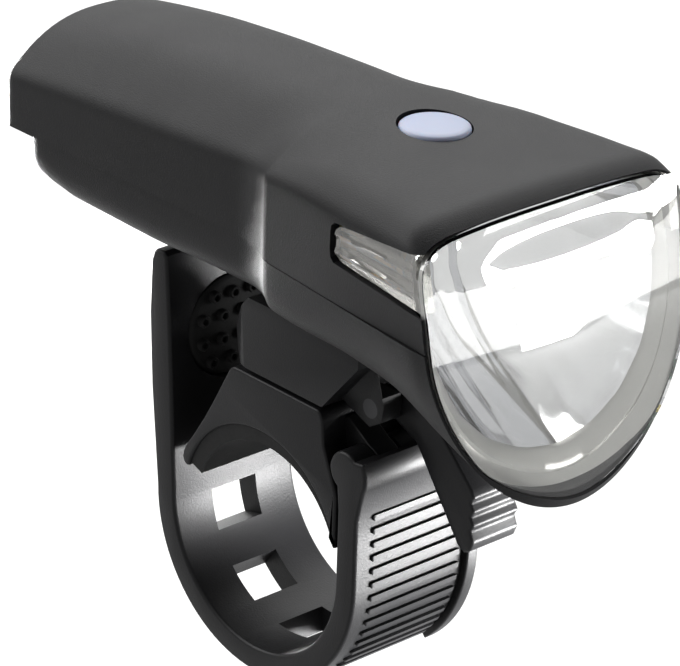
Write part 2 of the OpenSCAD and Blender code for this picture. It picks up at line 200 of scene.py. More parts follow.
def moulded(name, colour, roughness, grain_mm, bump_mm, spread=0.06):
    material = bpy.data.materials.new(name)
    material.use_nodes = True
    tree = material.node_tree
    shader = tree.nodes["Principled BSDF"]
    place = add(tree, "ShaderNodeTexCoord")
    grain = add(tree, "ShaderNodeTexNoise", {"Vector": place.outputs["Object"], "Scale": 1 / (grain_mm * MM),
                                             "Detail": 2.0, "Roughness": 0.6})
    cloud = add(tree, "ShaderNodeTexNoise", {"Vector": place.outputs["Object"], "Scale": 1 / (CLOUD_MM * MM),
                                             "Detail": 3.0})
    rough = add(tree, "ShaderNodeMapRange", {"Value": cloud.outputs["Fac"], "From Min": 0.3, "From Max": 0.7,
                                             "To Min": roughness - spread, "To Max": roughness + spread})
    tint = add(tree, "ShaderNodeMapRange", {"Value": grain.outputs["Fac"], "From Min": 0.3, "From Max": 0.7,
                                            "To Min": 0.85, "To Max": 1.15})
    base = add(tree, "ShaderNodeVectorMath", {0: to_linear(colour)[:3]}, operation="SCALE")
    tree.links.new(tint.outputs["Result"], base.inputs["Scale"])
    bump = add(tree, "ShaderNodeBump", {"Height": grain.outputs["Fac"], "Strength": 1.0,
                                        "Distance": bump_mm * MM})
    tree.links.new(base.outputs["Vector"], shader.inputs["Base Color"])
    tree.links.new(rough.outputs["Result"], shader.inputs["Roughness"])
    tree.links.new(bump.outputs["Normal"], shader.inputs["Normal"])
    shader.inputs["IOR"].default_value = PLASTIC_IOR
    shader.inputs["Specular IOR Level"].default_value = PLASTIC_SPECULAR
    return material


# Spark-eroded ABS: dull black with a fine sparkle. The real grit is about 0.1 mm, drawn coarser to show.
grained_abs = moulded("black_grained_abs", "#0D0D0E", 0.5, 0.22, 0.055, 0.015)
# The bracket is the same plastic from a smoother tool.
bracket_abs = moulded("black_bracket_abs", "#111112", 0.42, 0.3, 0.03, 0.02)
# Moulded rubber is duller and hardly reflects.
soft_rubber = moulded("soft_black_rubber", "#151515", 0.72, 0.6, 0.02)
print("plastics made")

# %% [markdown]
# ## Clear, chromed and metal finishes
# The lens is clear polycarbonate, the reflector has a vacuum-coated mirror, and the button is milky plastic.
# The pieces inside the housing get plain finishes of their kind. A faint mottle keeps each from looking flat.

# %% Lens, mirror, button and metals
MOTTLE_MM = 6.0


def finish(name, colour, change=0.06, **sockets):
    material = bpy.data.materials.new(name)
    material.use_nodes = True
    tree = material.node_tree
    shader = tree.nodes["Principled BSDF"]
    place = add(tree, "ShaderNodeTexCoord")
    mottle = add(tree, "ShaderNodeTexNoise", {"Vector": place.outputs["Object"], "Detail": 2.0,
                                              "Scale": 1 / (MOTTLE_MM * MM)})
    tint = add(tree, "ShaderNodeMapRange", {"Value": mottle.outputs["Fac"], "From Min": 0.3, "From Max": 0.7,
                                            "To Min": 1 - change, "To Max": 1.0})
    base = add(tree, "ShaderNodeVectorMath", {0: to_linear(colour)[:3]}, operation="SCALE")
    tree.links.new(tint.outputs["Result"], base.inputs["Scale"])
    tree.links.new(base.outputs["Vector"], shader.inputs["Base Color"])
    for key, value in sockets.items():
        shader.inputs[key.replace("_", " ")].default_value = value
    return material


# Clear polycarbonate, polished: the eye looks through it and sees its rim. The ears are a little cloudier.
clear_pc = finish("clear_polycarbonate", "#FAFAF8", 0.01, Transmission_Weight=1.0, IOR=1.49, Roughness=0.015)
rim_pc = finish("moulded_lens_ear", "#F0EEE8", 0.05, Transmission_Weight=0.93, IOR=1.49, Roughness=0.05)
silicone = finish("milky_silicone", "#C9C8C4", 0.05, Roughness=0.4)
# The same metal coat is satin on the flange and a mirror in the bowl.
satin_coat = finish("satin_coated_flange", "#A9A9A7", 0.06, Metallic=0.9, Roughness=0.28)
mirror_coat = finish("vacuum_coated_mirror", "#DADBDE", 0.03, Metallic=1.0, Roughness=0.06)
# Milky plastic lets some light in, which softens its edge.
milky_pc = finish("milky_button_plastic", "#777E92", 0.03, Roughness=0.5, Subsurface_Weight=0.25,
                  Subsurface_Scale=0.002)
black_steel = finish("black_oxide_steel", "#232325", 0.15, Metallic=0.6, Roughness=0.45)
zinc_steel = finish("zinc_plated_steel", "#B4B6B9", 0.12, Metallic=1.0, Roughness=0.32)
raw_aluminium = finish("extruded_aluminium", "#C3C5C8", 0.1, Metallic=1.0, Roughness=0.4)
spring_brass = finish("spring_brass", "#C8A05A", 0.1, Metallic=1.0, Roughness=0.3)
green_mask = finish("green_solder_mask", "#1C5B38", 0.2, Roughness=0.35)
grey_sleeve = finish("grey_shrink_sleeve", "#74787E", 0.08, Roughness=0.3)
phosphor = finish("yellow_phosphor", "#E9D36A", 0.1, Roughness=0.4)
print("finishes made")

# %% Finishes of the pieces that stay as they are
PLAIN = {
    silicone: ["lens_gasket"],
    soft_rubber: ["usb_cover", "bar_pad"],
    green_mask: ["led_board", "circuit_board"],
    phosphor: ["led_emitter", "indicator_led"],
    raw_aluminium: ["heat_sink"],
    grey_sleeve: ["cell_left", "cell_right"],
    spring_brass: ["cell_contacts"],
    zinc_steel: ["tact_switch", "usb_socket", "swivel_screw", "swivel_washer", "swivel_nut"],
    black_steel: ["shell_screws", "lever_pin", "strap_pin"],
}
for material, names in PLAIN.items():
    for name in names:
        nodes[name].data.materials.clear()
        nodes[name].data.materials.append(material)
print("CAD pieces with a finish:", sum(len(v) for v in PLAIN.values()))

# %% [markdown]
# ## The hood
# The hood is one moulding: straight sides and an arched top over the cells, then a crisp flare into a wider
# head. A loft of cross-sections follows it best. Each section is a side, a rounded edge and an arch, and the
# edge gets softer towards the brow. The last rows lean with the lens face, so the front edge is a clean rim.

# %% Lines that the hood follows
PARTING_Z = 51.5
FACE_Y, FACE_Z, FACE_TAN = -43.2, 65.6, 0.213
FRONT_Y = FACE_Y - 0.2
REAR_HALF, FLARE_W, HEAD_HALF, REAR_Y = 18.4, 2.8, 25.2, 55.0
FLARE_FROM, FLARE_LONG = 0.5, 9.5
HEAD_FROM, HEAD_LONG = -9.0, 35.0
LEAN_FROM, LEAN_LONG = -23.0, 20.0
# Height of the crown, and how far the arch falls from it to the side edge, along the lamp
CROWN_LINE = np.array([(-46, 68.9), (-38, 69.0), (-28, 69.6), (-19, 70.3), (-8, 71.2), (5, 71.5), (20, 71.2),
                       (35, 70.2), (47, 68.6), (56, 67.0)])
ARCH_FALL = np.array([(-46, 1.7), (-30, 2.2), (-20, 3.6), (-12, 5.8), (-5, 7.6), (5, 8.6), (20, 9.2),
                      (35, 9.0), (47, 8.2), (56, 7.4)])


def part_of(t):
    return min(1.0, max(0.0, t))


def step(t):
    t = part_of(t)
    return t * t * (3 - 2 * t)


def face_y(z, back=0.0):
    return FACE_Y + FACE_TAN * (z - FACE_Z) + back


def hood_half(y):
    # Straight over the cells, a concave flare that ends in a crisp edge, then a slow widening to the lens
    flare = FLARE_W * part_of((FLARE_FROM - y) / FLARE_LONG) ** 2
    return REAR_HALF + flare + (HEAD_HALF - REAR_HALF - FLARE_W) * part_of((HEAD_FROM - y) / HEAD_LONG)


def lean(y):
    # Sections stand upright over the cells and have the tilt of the lens face at the front
    return FACE_TAN * step((LEAN_FROM - y) / LEAN_LONG)


def along(line, y, reach=4.0):
    # Value of a drawn line at y, with its corners rounded over by the reach
    return float(np.mean(np.interp(np.linspace(y - reach, y + reach, 13), line[:, 0], line[:, 1])))


print("crown from", round(along(CROWN_LINE, REAR_Y), 1), "to", round(along(CROWN_LINE, FRONT_Y), 1), "mm")

# %% [markdown]
# A section runs from the parting line up one side, round the edge with a quadratic curve, and over the arch.
# The arch is a power curve: flat in the middle, and falling faster towards the sides.

# %% Sections of the hood
ARCH_POWER = 2.5
# The rounded edge: how far it reaches down the side and in over the top, and what the head adds to both
EDGE_DOWN, EDGE_DOWN_HEAD = 1.3, 3.0
EDGE_IN, EDGE_IN_HEAD = 1.5, 6.0
EDGE_FULL = 0.12
SOFT_FROM, SOFT_LONG = -4.0, 26.0
CROWN_INSET = 0.75
SIDE_POINTS, EDGE_POINTS, ARCH_POINTS = 13, 9, 13
BROW_BOW, BROW_HALF = 1.3, 25.0
BROW_LOW, BROW_HIGH = 58.0, 8.0
BROW_FROM, BROW_LONG = -32.0, 11.0


def hood_section(y, inset=0.0, droop=0.0):
    half = hood_half(y) - inset
    head = step((SOFT_FROM - y) / SOFT_LONG)
    fall = along(ARCH_FALL, y)
    crown = along(CROWN_LINE, y) - CROWN_INSET * inset - droop
    edge = EDGE_DOWN + EDGE_DOWN_HEAD * head
    start_z = crown - fall - edge
    end_x = half - (EDGE_IN + EDGE_IN_HEAD * head)
    end_z = crown - fall * (end_x / half) ** ARCH_POWER
    corner_z = crown - fall + EDGE_FULL * edge
    points = [(half, z) for z in np.linspace(PARTING_Z, start_z, SIDE_POINTS)]
    for t in np.linspace(0, 1, EDGE_POINTS)[1:]:
        a, b, c = (1 - t) ** 2, 2 * t * (1 - t), t * t
        points.append((a * half + b * half + c * end_x, a * start_z + b * corner_z + c * end_z))
    for x in np.linspace(end_x, 0, ARCH_POINTS)[1:]:
        points.append((x, crown - fall * (x / half) ** ARCH_POWER))
    return points + [(-x, z) for x, z in points[-2::-1]]


def brow_bow(x, z):
    # Brow and lens bow forward in the middle of their upper edge
    return -BROW_BOW * (1 - min(1.0, abs(x) / BROW_HALF) ** 2) * step((z - BROW_LOW) / BROW_HIGH)


def hood_point(y, x, z):
    return (x, y + lean(y) * (z - FACE_Z) + brow_bow(x, z) * step((BROW_FROM - y) / BROW_LONG), z)


print("points in a section:", len(hood_section(0.0)))

# %% [markdown]
# The rows are close together where the shape turns: round the rear edge, along the flare and at the brow,
# where the crown droops to the lens over the last few millimetres.

# %% Skin of the hood
REAR_ROUND = 2.0
FLARE_END = -9.0
# Distance behind the front edge, and how far the crown has drooped there
BROW_ROLL = ((3.2, 0.04), (2.6, 0.14), (2.0, 0.34), (1.5, 0.6), (1.0, 0.92), (0.5, 1.28), (0.0, 1.7))
BROW_DROOP = BROW_ROLL[-1][1]

hood_rows = []
for a in np.radians(np.linspace(90, 0, 8)):
    hood_rows.append((REAR_Y - REAR_ROUND + REAR_ROUND * math.sin(a), REAR_ROUND * (1 - math.cos(a)), 0.0))
flare_ys = list(np.linspace(FLARE_FROM, FLARE_END, 15))
for y in list(np.linspace(51, 1.5, 22)) + flare_ys + list(np.linspace(-9.8, FRONT_Y + 4.0, 20)):
    hood_rows.append((y, 0.0, 0.0))
for back, droop in BROW_ROLL:
    hood_rows.append((FRONT_Y + back, 0.0, droop))
hood_verts = []
for y, inset, droop in hood_rows:
    hood_verts += [hood_point(y, x, z) for x, z in hood_section(y, inset, droop)]
columns = len(hood_section(0.0))
hood_faces = grid_faces(len(hood_rows), columns)
hood_faces.append(tuple(range(columns)))
print("hood rows:", len(hood_rows), "points a row:", columns)

# %% [markdown]
# A moulding has a wall, not a solid body, so Solidify thickens the skin inwards. A vertex group thins the
# wall towards the lens, which sits inside its edge. Only the chin keeps a full lip under the lens.

# %% Walls
WALL = 1.6
THIN_SHARE = 0.28
THIN_FROM, THIN_LONG = 0.6, 3.6
LIP_TOP, LIP_HIGH = 34.0, 9.0


def chin_lip(z):
    # The edge of the lower shell keeps its full wall under the lens
    return step((LIP_TOP - z) / LIP_HIGH)


def open_skin_outwards(mesh):
    # An open skin has no inside, so its largest level face tells which way is out
    bm = bmesh.new()
    bm.from_mesh(mesh)
    bmesh.ops.remove_doubles(bm, verts=bm.verts, dist=MERGE)
    bmesh.ops.recalc_face_normals(bm, faces=bm.faces)
    level_face = max(bm.faces, key=lambda f: abs(f.normal.z) * f.calc_area())
    middle = sum((v.co for v in bm.verts), Vector()) / len(bm.verts)
    if (level_face.calc_center_median() - middle).dot(level_face.normal) < 0:
        bmesh.ops.reverse_faces(bm, faces=bm.faces)
    bm.to_mesh(mesh)
    bm.free()


def settle(piece):
    # Turns the result of the modifiers into a plain mesh
    made = bpy.data.meshes.new_from_object(piece.evaluated_get(bpy.context.evaluated_depsgraph_get()))
    piece.modifiers.clear()
    old, piece.data = piece.data, made
    bpy.data.meshes.remove(old)
    return piece


def walled(name, verts_mm, faces):
    piece = mesh_object(name, verts_mm, faces)
    mesh = piece.data
    open_skin_outwards(mesh)
    group = piece.vertex_groups.new(name="wall")
    for vert in mesh.vertices:
        behind = vert.co.y / MM - face_y(vert.co.z / MM)
        share = max(step((behind - THIN_FROM) / THIN_LONG), chin_lip(vert.co.z / MM))
        group.add([vert.index], THIN_SHARE + (1 - THIN_SHARE) * share, "REPLACE")
    wall = piece.modifiers.new("wall", "SOLIDIFY")
    wall.thickness = WALL * MM
    wall.vertex_group = group.name
    wall.thickness_vertex_group = 0.0
    wall.offset = -1
    wall.use_even_offset = False
    return settle(piece)


hood = walled("hood", hood_verts, hood_faces)
print("hood skin:", len(hood.data.polygons), "faces")

# %% [markdown]
# Openings are cut into the hood: a window on each side for the ear of the lens, and the round hole of the
# button. A boolean with a plain prism is the shortest way to a clean edge.

# %% Prisms that cut


def prism(name, outline_mm, low_mm, high_mm, axis):
    # A closed prism over an outline in the plane square to the axis
    ends = []
    for level in (low_mm, high_mm):
        for a, b in outline_mm:
            ends.append({"x": (level, a, b), "y": (a, level, b), "z": (a, b, level)}[axis])
    n = len(outline_mm)
    faces = [(i, (i + 1) % n, n + (i + 1) % n, n + i) for i in range(n)]
    faces += [tuple(range(n)), tuple(range(n, 2 * n))]
    piece = mesh_object(name, ends, faces)
    face_outwards(piece.data, merge=False)
    return piece


def cut(piece, cutter):
    bpy.context.view_layer.update()
    hole = piece.modifiers.new("cut", "BOOLEAN")
    hole.operation = "DIFFERENCE"
    hole.solver = "EXACT"
    hole.object = cutter
    settle(piece)
    bpy.data.objects.remove(cutter)
    return piece


# %% Openings of the hood
BUTTON_Y, BUTTON_R = -20.4, 5.2
BUTTON_ROOM = 1.05
EAR_GAP = 0.25
EAR_LOW, EAR_MIDDLE, EAR_HIGH = 56.6, 60.2, 64.4
EAR_REAR = [(-25.9, 57.5), (-25.2, 58.1), (-25.0, 59.2), (-25.0, 61.2), (-25.2, 62.3), (-25.9, 62.9)]
PAST_FACE = 6


def window_outline(grow):
    low = (face_y(EAR_LOW) - PAST_FACE, EAR_LOW - 0.4 - grow)
    high = (face_y(EAR_HIGH) - PAST_FACE, EAR_HIGH + 0.5 + grow)
    return [low] + [(y + grow, z + math.copysign(grow, z - EAR_MIDDLE)) for y, z in EAR_REAR] + [high]


for side in (-1, 1):
    levels = sorted((side * 17.0, side * 40.0))
    cut(hood, prism("window", window_outline(EAR_GAP), *levels, "x"))
cut(hood, prism("button_hole", circle((0.0, BUTTON_Y), BUTTON_R * BUTTON_ROOM, 64), 60.0, 80.0, "z"))
finish_piece(hood, grained_abs, "lamp_body", ["upper_shell"], 28)

# %% [markdown]
# ## The lower shell
# Below the parting line the housing is a trough that deepens into a chin under the lens.
# Each section is a superellipse: nearly square at the rear, round at the lens. One formula gives both,
# where separate arcs and straight lines would have to be matched at every row.

# %% Sections of the lower shell
BOTTOM_LINE = np.array([(-56, 21.9), (-52, 24.3), (-43.5, 29.2), (-34, 34.4), (-23.5, 38.5), (-4, 41.2),
                        (10, 41.5), (REAR_Y - 34, 41.0), (REAR_Y - 14, 41.6), (REAR_Y - 8, 42.8),
                        (REAR_Y - 4.4, 44.6), (REAR_Y - 3.4, 46.2)])
PARTING_GAP = 0.15
STEP_IN = 1.2
SQUARE_POWER, ROUND_LOSS = 5.0, 3.05
LOW_POINTS = 73


def low_bottom(y):
    return along(BOTTOM_LINE, y, 3.0 if y < 40 else 0.6)


def low_point(y, angle, inset=0.0):
    half = hood_half(y) - STEP_IN * (1 - step((2.0 - y) / 14.0)) - inset
    power = SQUARE_POWER - ROUND_LOSS * step((8.0 - y) / 46.0)
    c, s = math.cos(angle), abs(math.sin(angle))
    deep = PARTING_Z - PARTING_GAP - low_bottom(y)
    return half * math.copysign(abs(c) ** (2 / power), c), PARTING_Z - PARTING_GAP - deep * s ** (2 / power)


def low_row(y, inset=0.0):
    # Each point lies on the leaning plane of its row, so its place along the lamp is found in a few turns
    row = []
    for angle in np.linspace(0, math.pi, LOW_POINTS):
        at = y
        for _ in range(12):
            x, z = low_point(at, angle, inset)
            at = y + lean(y) * (z - FACE_Z)
        row.append((x, at, z))
    return row


# %% Skin of the lower shell
LOW_REAR, LOW_ROUND = REAR_Y - 3.4, 3.5

lower_rows = []
for a in np.radians(np.linspace(90, 0, 6)):
    lower_rows.append((LOW_REAR - LOW_ROUND + LOW_ROUND * math.sin(a), LOW_ROUND * (1 - math.cos(a))))
for y in list(np.linspace(46, 1.5, 20)) + flare_ys + list(np.linspace(-10, FRONT_Y, 26)):
    lower_rows.append((y, 0.0))
lower_verts = []
for y, inset in lower_rows:
    lower_verts += low_row(y, inset)
lower_faces = grid_faces(len(lower_rows), LOW_POINTS) + [tuple(range(LOW_POINTS))]
trough = walled("lower_trough", lower_verts, lower_faces)
finish_piece(trough, grained_abs, "lamp_body", ["lower_shell"], 28)

# %% [markdown]
# The foot below the lower shell is the rail that slides into the bracket.
# Its T shape is one prism along the lamp.

# %% Rail under the lower shell
RAIL_TOP, LIP_Z, RAIL_BOTTOM = 42.4, 34.4, 31
NECK_HALF, FOOT_HALF = 5, 8
RAIL_FRONT, RAIL_REAR = -16.5, 3.0
rail_outline = [(-NECK_HALF, LIP_Z), (-FOOT_HALF, LIP_Z), (-FOOT_HALF, RAIL_BOTTOM), (FOOT_HALF, RAIL_BOTTOM),
                (FOOT_HALF, LIP_Z), (NECK_HALF, LIP_Z), (NECK_HALF, RAIL_TOP), (-NECK_HALF, RAIL_TOP)]
rail = prism("slide_rail", rail_outline, RAIL_FRONT, RAIL_REAR, "y")
finish_piece(rail, grained_abs, "lamp_body", ["lower_shell"])

# %% [markdown]
# ## The lens
# The lens is a clear plate that bulges a little. Its outline is a flat arch on a rounded U, set inside the
# shells. It is one closed solid of clear plastic, so the light bends in its rim as in the real one.

# %% Outline of the lens
LENS_INSET, EAR_INSET, LIP_INSET = 0.55, 0.35, 1.1
WINDOW_SOFT = 0.8
LENS_MIDDLE = (0.0, 48.5)


def lens_outline(inset, open_sides=0, count=144):
    # Walks round the front rims of both shells, moved inwards by the inset
    low = [(x, z) for x, y, z in low_row(FRONT_Y)]
    top = [(x, z) for x, z in hood_section(FRONT_Y, 0.0, BROW_DROOP) if z > PARTING_Z + 0.5]
    ring = even_loop(low + top[::-1], count, 2)
    edge = np.roll(ring, -1, axis=0) - np.roll(ring, 1, axis=0)
    inward = np.column_stack([-edge[:, 1], edge[:, 0]]) / np.linalg.norm(edge, axis=1)[:, None]
    if np.sum(inward * (ring - ring.mean(axis=0))) > 0:
        inward = -inward
    window = np.array([step((z - EAR_LOW) / WINDOW_SOFT) * step((EAR_HIGH - z) / WINDOW_SOFT)
                       for x, z in ring])
    lip = np.array([chin_lip(z) for x, z in ring])
    return ring + inward * (inset + LIP_INSET * lip - (inset - EAR_INSET) * window * open_sides)[:, None]


def lens_skin(outline, back, bulge, rings):
    verts = []
    for k in range(rings + 1):
        s = 1 - k / rings
        for x, z in outline:
            px = LENS_MIDDLE[0] + (x - LENS_MIDDLE[0]) * s
            pz = LENS_MIDDLE[1] + (z - LENS_MIDDLE[1]) * s
            verts.append((px, face_y(pz, back) - bulge * (1 - s * s) + brow_bow(px, pz), pz))
    return verts


# %% Body of the lens
LENS_RINGS = 12
LENS_FRONT, FRONT_BULGE = -0.9, 1.7
LENS_BACK, BACK_BULGE = 0.1, 1.0

rim = lens_outline(LENS_INSET, 1)
count = len(rim)
front = lens_skin(rim, LENS_FRONT, FRONT_BULGE, LENS_RINGS)
rear = lens_skin(rim, LENS_BACK, BACK_BULGE, LENS_RINGS)
offset = len(front)
front_faces = grid_faces(LENS_RINGS + 1, count, 0, True)
rear_faces = [tuple(i + offset for i in f[::-1]) for f in front_faces]
rim_faces = [(i, (i + 1) % count, offset + (i + 1) % count, offset + i) for i in range(count)]
lens_faces = front_faces + rear_faces + rim_faces
make_piece("clear_lens", front + rear, lens_faces, clear_pc, "lamp_body", ["front_lens"], 40)

# %% [markdown]
# An ear of the lens runs back along each side of the head, so that the light can be seen from the side.
# It has a rounded rear end and two lengthwise ridges, which the loft carries as small waves.

# %% Ears of the lens
EAR_END, EAR_LONG = -25.5, 17.5
EAR_COLUMNS = 15
EAR_SUNK, EAR_INNER = 0.55, 2.6
RIDGE_HIGH, RIDGE_APART, RIDGE_WIDE = 0.35, 1.3, 0.45
BLUNT = 0.55


def ear_heights(y):
    # Heights across the ear at one row, from its lower to its upper edge, and the height of its middle
    t = (EAR_END - y) / EAR_LONG
    low, high = 57.7 - 1.0 * t, 62.7 + 1.9 * t
    end = math.sqrt(max(0.0, 1 - max(0.0, 1 - (EAR_END + 0.1 - y) / 2.0) ** 2))
    middle, reach = (low + high) / 2, (high - low) / 2 * (BLUNT + (1 - BLUNT) * end)
    return [middle + reach * (2 * k / (EAR_COLUMNS - 1) - 1) for k in range(EAR_COLUMNS)], middle


def ridges(height):
    places = (RIDGE_APART, -RIDGE_APART)
    return sum(RIDGE_HIGH * math.exp(-((height - at) / RIDGE_WIDE) ** 2) for at in places)


ear_rows = list(np.linspace(EAR_END, -27.5, 6)) + list(np.linspace(-28.5, FRONT_Y + 0.4, 15))
ear_around = 2 * EAR_COLUMNS
ear_last = (len(ear_rows) - 1) * ear_around
ear_faces = grid_faces(len(ear_rows), ear_around, 0, True)
ear_faces += [tuple(range(ear_around)), tuple(range(ear_last, ear_last + ear_around))]
for side, label in ((-1, "right"), (1, "left")):
    verts = []
    for y in ear_rows:
        heights, middle = ear_heights(y)
        outer = [(hood_half(y) - EAR_SUNK + ridges(z - middle), z) for z in heights]
        inner = [(hood_half(y) - EAR_INNER, z) for z in heights[::-1]]
        verts += [(side * x, y + lean(y) * (z - FACE_Z), z) for x, z in outer + inner]
    make_piece("lens_ear_" + label, verts, ear_faces, rim_pc, "lamp_body", ["front_lens"], 40)

# %% [markdown]
# ## The reflector
# A deep chrome bowl sits behind the lens. Upright creases divide it into strips, and one level crease
# crosses the middle. The bowl is a polar loft from the rim to the deepest point. The strips are shallow
# waves added to its depth, because facets cut one by one would be hard to keep joined.

# %% Bowl of the reflector
REFLECTOR_HALF = [(0, 31.4), (6.5, 32.6), (12.5, 35.6), (17.4, 40.6), (20.4, 47), (21.4, 53), (21.3, 58),
                  (20.2, 62.4), (17, 64.4), (10, 66.0), (0, 66.7)]
BOWL_MIDDLE, BOWL_DEEP, BOWL_BACK, BOWL_RINGS = 54.0, 17.5, 3.6, 40
STRIP_WIDE, STRIP_FROM, STRIP_DEEP = 7.3, -22.0, 0.55
CREASE_Z, CREASE_UP, CREASE_DOWN = 52.3, 0.10, -0.05


def bowl_depth(x, z, s):
    strip = ((x - STRIP_FROM) / STRIP_WIDE) % 1.0 * 2 - 1
    level = z - CREASE_Z
    inner = 1 - s ** 4
    crease = (CREASE_UP if level > 0 else CREASE_DOWN) * level
    return BOWL_DEEP * (1 - s ** 2.2) + STRIP_DEEP * (1 - strip ** 2) * inner + crease * inner


loop = even_loop(REFLECTOR_HALF + [(-x, z) for x, z in REFLECTOR_HALF[-2:0:-1]], 144, 3)
verts = []
for k in range(BOWL_RINGS + 1):
    s = 1 - k / BOWL_RINGS
    for x, z in loop:
        px, pz = x * s, BOWL_MIDDLE + (z - BOWL_MIDDLE) * s
        verts.append((px, face_y(pz, BOWL_BACK) + bowl_depth(px, pz, s), pz))
bowl_faces = grid_faces(BOWL_RINGS + 1, len(loop), 0, True)
make_piece("mirror_bowl", verts, bowl_faces, mirror_coat, "lamp_body", ["reflector"], 12)

# %% [markdown]
# A satin flange joins the bowl's rim to the lens. It is a loft between two loops with as many points each,
# so the outer loop is first turned to start where the inner one starts and to run the same way.

# %% Flange between the bowl and the lens rim
FLANGE_INSET = 0.5
# Share of the way from the bowl to the lens rim, and distance behind the lens face
FLANGE_ROWS = ((0.0, 3.6), (0.08, 2.8), (0.45, 1.9), (0.55, 2.1), (0.88, 0.75), (1.0, 0.15), (1.0, -0.6))


def way_round(ring):
    # Positive or negative with the way in which the loop runs round the lens
    return np.cross(ring[0] - LENS_MIDDLE, ring[6] - LENS_MIDDLE)


outer = lens_outline(FLANGE_INSET)
start = int(np.argmin(np.hypot(outer[:, 0] - loop[0, 0], outer[:, 1] - loop[0, 1])))
outer = np.roll(outer, -start, axis=0)
if way_round(outer) * way_round(loop) < 0:
    outer = np.roll(outer[::-1], 1, axis=0)
verts = []
for blend, back in FLANGE_ROWS:
    for (ax, az), (bx, bz) in zip(loop, outer):
        x, z = ax + (bx - ax) * blend, az + (bz - az) * blend
        verts.append((x, face_y(z, back), z))
flange_faces = grid_faces(len(FLANGE_ROWS), len(loop), 0, True)
make_piece("reflector_flange", verts, flange_faces, satin_coat, "lamp_body", ["reflector"], 40)

# %% [markdown]
# ## The mode button
# A milky round button stands a little proud of the hood. Turning a profile of a few points gives its soft
# edge and its slight dome.

# %% Button
BUTTON_PROFILE = [(0.0, 0.45), (2.4, 0.41), (4.0, 0.29), (4.8, 0.13), (5.1, -0.1), (BUTTON_R, -0.5),
                  (BUTTON_R, -1.5), (2.0, -1.6), (0.0, -1.6)]
BUTTON_TURNS = 64

button_at = (0.0, BUTTON_Y, along(CROWN_LINE, BUTTON_Y))
verts = turned(BUTTON_PROFILE, BUTTON_TURNS, button_at, upright=True)
button_faces = grid_faces(len(BUTTON_PROFILE), BUTTON_TURNS, 0, True)
make_piece("milky_button", verts, button_faces, milky_pc, "button_body", ["mode_button"], 50)

# %% [markdown]
# ## The bracket
# Strap, saddle and hinge ears are drawn as side views and pushed out along the handlebar.
# Moulded pieces have no sharp edges, so each end is rounded over by a few inset rings.

# %% Rounded extrusions
MITRE_LIMIT = 0.75
EDGE_BENDS = np.radians((90, 72, 54, 36, 18, 0))


def inset_loop(points, d):
    p = np.array(points, float)
    before, after = np.roll(p, 1, axis=0), np.roll(p, -1, axis=0)
    e1, e2 = p - before, after - p
    n1 = np.column_stack([-e1[:, 1], e1[:, 0]]) / np.linalg.norm(e1, axis=1)[:, None]
    n2 = np.column_stack([-e2[:, 1], e2[:, 0]]) / np.linalg.norm(e2, axis=1)[:, None]
    n = n1 + n2
    n /= np.maximum(MITRE_LIMIT, np.sum(n * n, axis=1))[:, None] / 2
    area = np.sum(p[:, 0] * after[:, 1] - after[:, 0] * p[:, 1])
    return p + n * d * (1 if area > 0 else -1)


def round_corners(points, radius, steps=4):
    p = np.array(points, float)
    out = []
    for i in range(len(p)):
        a, b, c = p[i - 1], p[i], p[(i + 1) % len(p)]
        to_a, to_c = np.linalg.norm(a - b), np.linalg.norm(c - b)
        reach = min(radius, 0.45 * to_a, 0.45 * to_c)
        s, e = b + (a - b) / to_a * reach, b + (c - b) / to_c * reach
        for t in np.linspace(0, 1, steps + 1):
            out.append(tuple((1 - t) ** 2 * s + 2 * t * (1 - t) * b + t * t * e))
    return out


def rounded_extrusion(name, outline_yz, x0, x1, edge):
    rings = [(x0 + edge * (1 - math.sin(a)), edge * (1 - math.cos(a))) for a in EDGE_BENDS]
    rings += [(x0 + x1 - x, inset) for x, inset in rings[::-1]]
    verts = []
    for x, inset in rings:
        verts += [(x, y, z) for y, z in inset_loop(outline_yz, inset)]
    n = len(outline_yz)
    last = (len(rings) - 1) * n
    faces = grid_faces(len(rings), n, 0, True) + [tuple(range(n)), tuple(range(last, last + n))]
    piece = mesh_object(name, verts, faces)
    face_outwards(piece.data, merge=False)
    return piece


# %% [markdown]
# The strap is one long outline: down the ribbed front from the hinge, under the bar, up the tail and back
# inside. The ring sits a little behind the bar's middle, so that the front of the strap just clears the bar.

# %% Outline of the strap
BAR_R, BAND, STRAP_WALL = 15.9, 12.0, 4.2
RING_IN = 18.5
RING_OUT = RING_IN + STRAP_WALL
RING_Y = RING_IN - BAR_R - 0.1
FRONT_IN = RING_Y - RING_IN
FRONT_OUT = FRONT_IN - STRAP_WALL
HINGE_Y, HINGE_Z, HINGE_R = FRONT_IN - 1.2, 18.5, 3.2
HINGE = (HINGE_Y, HINGE_Z)
RING_MIDDLE = (RING_Y, 0.0)
SKIRT_R = HINGE_R + 1.4
TAIL_TOP = 39.0
TAIL_OUT, TAIL_IN = RING_Y + RING_OUT, RING_Y + RING_IN

